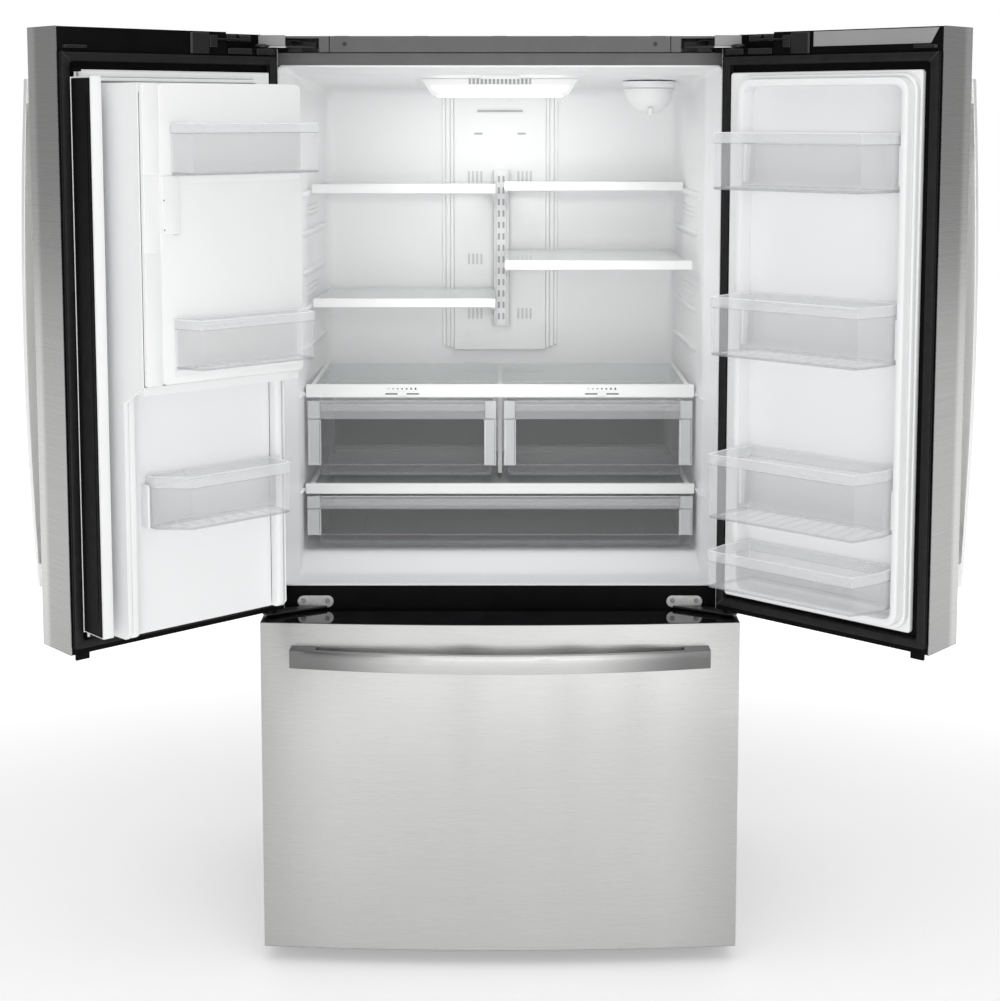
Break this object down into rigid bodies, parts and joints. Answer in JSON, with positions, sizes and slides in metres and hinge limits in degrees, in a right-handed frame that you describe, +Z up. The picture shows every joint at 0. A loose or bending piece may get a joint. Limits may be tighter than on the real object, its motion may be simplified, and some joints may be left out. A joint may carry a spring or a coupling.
{
  "type": "french door refrigerator",
  "caption": "Bottom-freezer refrigerator with paired upper doors standing open, shelves, crispers, door bins, in-door ice compartment and a freezer drawer.",
  "frame": {"origin": "on the floor, under the middle of the whole object's bounding box with both doors open", "axes": "+X to the right seen from the front, +Y from the front to the back, +Z up"},
  "size_m": [1.7008, 1.0582, 1.775],
  "materials": {
    "stainless": "satin",
    "case_paint": "satin",
    "foam": "matte",
    "white_liner": "satin",
    "white_plastic": "satin",
    "black_plastic": "satin",
    "seal": "matte",
    "zinc": "satin",
    "black_paint": "satin",
    "clear_plastic": "gloss",
    "pane": "gloss",
    "lamp": "satin",
    "grey_plastic": "satin",
    "galvanised": "satin"
  },
  "bodies": {
    "cabinet": {"outer_case": "case_paint", "insulation": "foam", "fresh_liner": "white_liner", "freezer_liner": "white_liner", "centre_rail": "black_plastic", "base_frame": "galvanised", "kick_grille": "black_plastic", "leveling_feet": "grey_plastic", "hinge_cover": "grey_plastic", "top_hinges": "zinc", "middle_hinges": "zinc", "hinge_screws": "stainless", "ceiling_fittings": "white_plastic", "light_lens": "lamp", "air_tower": "white_plastic", "shelf_supports": "zinc", "shelf_panes": "pane", "shelf_frames": "white_plastic", "crisper_cover": "white_plastic", "deli_cover": "white_plastic", "machinery": "black_paint", "rear_cover": "galvanised", "evaporator_cover": "white_liner"},
    "roller_left": {"roller_left": "grey_plastic"},
    "roller_right": {"roller_right": "grey_plastic"},
    "water_filter": {"water_filter": "white_plastic"},
    "condenser_fan": {"condenser_fan": "grey_plastic"},
    "humidity_slider_left": {"humidity_slider_left": "white_plastic"},
    "humidity_slider_right": {"humidity_slider_right": "white_plastic"},
    "crisper_left": {"crisper_left": "clear_plastic"},
    "crisper_right": {"crisper_right": "clear_plastic"},
    "deli_pan": {"deli_pan": "clear_plastic"},
    "left_door": {"left_shell": "stainless", "left_core": "foam", "left_frame": "black_plastic", "left_liner": "white_liner", "left_gasket": "seal", "left_handle": "stainless", "ice_bucket": "clear_plastic", "ice_maker": "white_plastic", "left_door_bin": "clear_plastic", "dispenser": "black_plastic"},
    "mullion": {"mullion_bar": "black_plastic"},
    "ice_door": {"ice_door": "white_liner", "ice_door_bins": "clear_plastic"},
    "dispenser_paddle": {"dispenser_paddle": "grey_plastic"},
    "right_door": {"right_shell": "stainless", "right_core": "foam", "right_frame": "black_plastic", "right_liner": "white_liner", "right_gasket": "seal", "right_handle": "stainless", "right_door_bins": "clear_plastic"},
    "freezer_drawer": {"drawer_shell": "stainless", "drawer_core": "white_liner", "drawer_frame": "black_plastic", "drawer_handle": "stainless", "drawer_slides": "zinc", "lower_basket": "white_plastic"},
    "upper_basket": {"upper_basket": "clear_plastic"}
  },
  "joints": [
    {"name": "left_door_hinge", "type": "hinge", "parent": "cabinet", "child": "left_door", "pos_m": [-0.442, -0.1132, 1.2], "axis": [0, 0, 1], "range_deg": [0, 138]},
    {"name": "right_door_hinge", "type": "hinge", "parent": "cabinet", "child": "right_door", "pos_m": [0.442, -0.1132, 1.2], "axis": [0, 0, -1], "range_deg": [0, 138]},
    {"name": "mullion_fold", "type": "hinge", "parent": "left_door", "child": "mullion", "pos_m": [-0.71547, -0.43096, 1.2], "axis": [0, 0, -1], "range_deg": [0, 90]},
    {"name": "ice_door_hinge", "type": "hinge", "parent": "left_door", "child": "ice_door", "pos_m": [-0.36134, -0.29395, 1.4], "axis": [0, 0, -1], "range_deg": [-95, 0]},
    {"name": "dispenser_paddle_pivot", "type": "hinge", "parent": "left_door", "child": "dispenser_paddle", "pos_m": [-0.61334, -0.24123, 1.34], "axis": [-0.7431, -0.6691, 0], "range_deg": [0, 8], "stiffness_Nm_per_rad": 0.3},
    {"name": "freezer_drawer_slide", "type": "slide", "parent": "cabinet", "child": "freezer_drawer", "axis": [0, 1, 0], "range_m": [-0.42, 0]},
    {"name": "upper_basket_slide", "type": "slide", "parent": "freezer_drawer", "child": "upper_basket", "axis": [0, 1, 0], "range_m": [0, 0.115]},
    {"name": "crisper_left_slide", "type": "slide", "parent": "cabinet", "child": "crisper_left", "axis": [0, 1, 0], "range_m": [-0.29, 0]},
    {"name": "crisper_right_slide", "type": "slide", "parent": "cabinet", "child": "crisper_right", "axis": [0, 1, 0], "range_m": [-0.29, 0]},
    {"name": "deli_pan_slide", "type": "slide", "parent": "cabinet", "child": "deli_pan", "axis": [0, 1, 0], "range_m": [-0.3, 0]},
    {"name": "humidity_left_slide", "type": "slide", "parent": "cabinet", "child": "humidity_slider_left", "axis": [1, 0, 0], "range_m": [-0.02, 0.02]},
    {"name": "humidity_right_slide", "type": "slide", "parent": "cabinet", "child": "humidity_slider_right", "axis": [1, 0, 0], "range_m": [-0.02, 0.02]},
    {"name": "water_filter_twist", "type": "hinge", "parent": "cabinet", "child": "water_filter", "pos_m": [0.301, 0.1818, 1.66], "axis": [0, 0, 1], "range_deg": [0, 90]},
    {"name": "condenser_fan_spin", "type": "hinge", "parent": "cabinet", "child": "condenser_fan", "pos_m": [-0.06, 0.4598, 0.116], "axis": [1, 0, 0], "continuous": true},
    {"name": "roller_left_spin", "type": "hinge", "parent": "cabinet", "child": "roller_left", "pos_m": [-0.36, 0.4718, 0.0215], "axis": [1, 0, 0], "continuous": true},
    {"name": "roller_right_spin", "type": "hinge", "parent": "cabinet", "child": "roller_right", "pos_m": [0.36, 0.4718, 0.0215], "axis": [1, 0, 0], "continuous": true}
  ]
}
